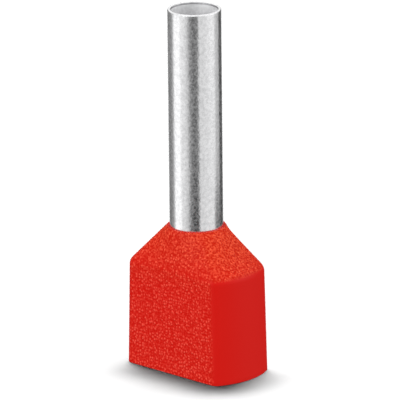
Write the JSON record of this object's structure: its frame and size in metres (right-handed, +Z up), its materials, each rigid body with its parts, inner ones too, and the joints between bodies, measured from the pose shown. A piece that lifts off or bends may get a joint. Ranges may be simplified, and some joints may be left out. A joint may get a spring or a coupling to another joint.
{
  "type": "twin wire ferrule",
  "caption": "Insulated end sleeve that joins two stranded wires side by side: a thin plated tube with a bell mouth, held in a red moulded collar with an oblong entry.",
  "frame": {"origin": "centre of the wire entry, on the lower rim of the collar, which the part stands on", "axes": "+Z up the sleeve towards its cut tip, +X across the collar's width, +Y across its depth"},
  "size_m": [0.0064, 0.0036, 0.0166],
  "materials": {
    "tinned_copper": "satin",
    "red_plastic": "satin"
  },
  "bodies": {
    "root": {"contact_sleeve": "tinned_copper", "insulating_collar": "red_plastic"}
  },
  "joints": []
}
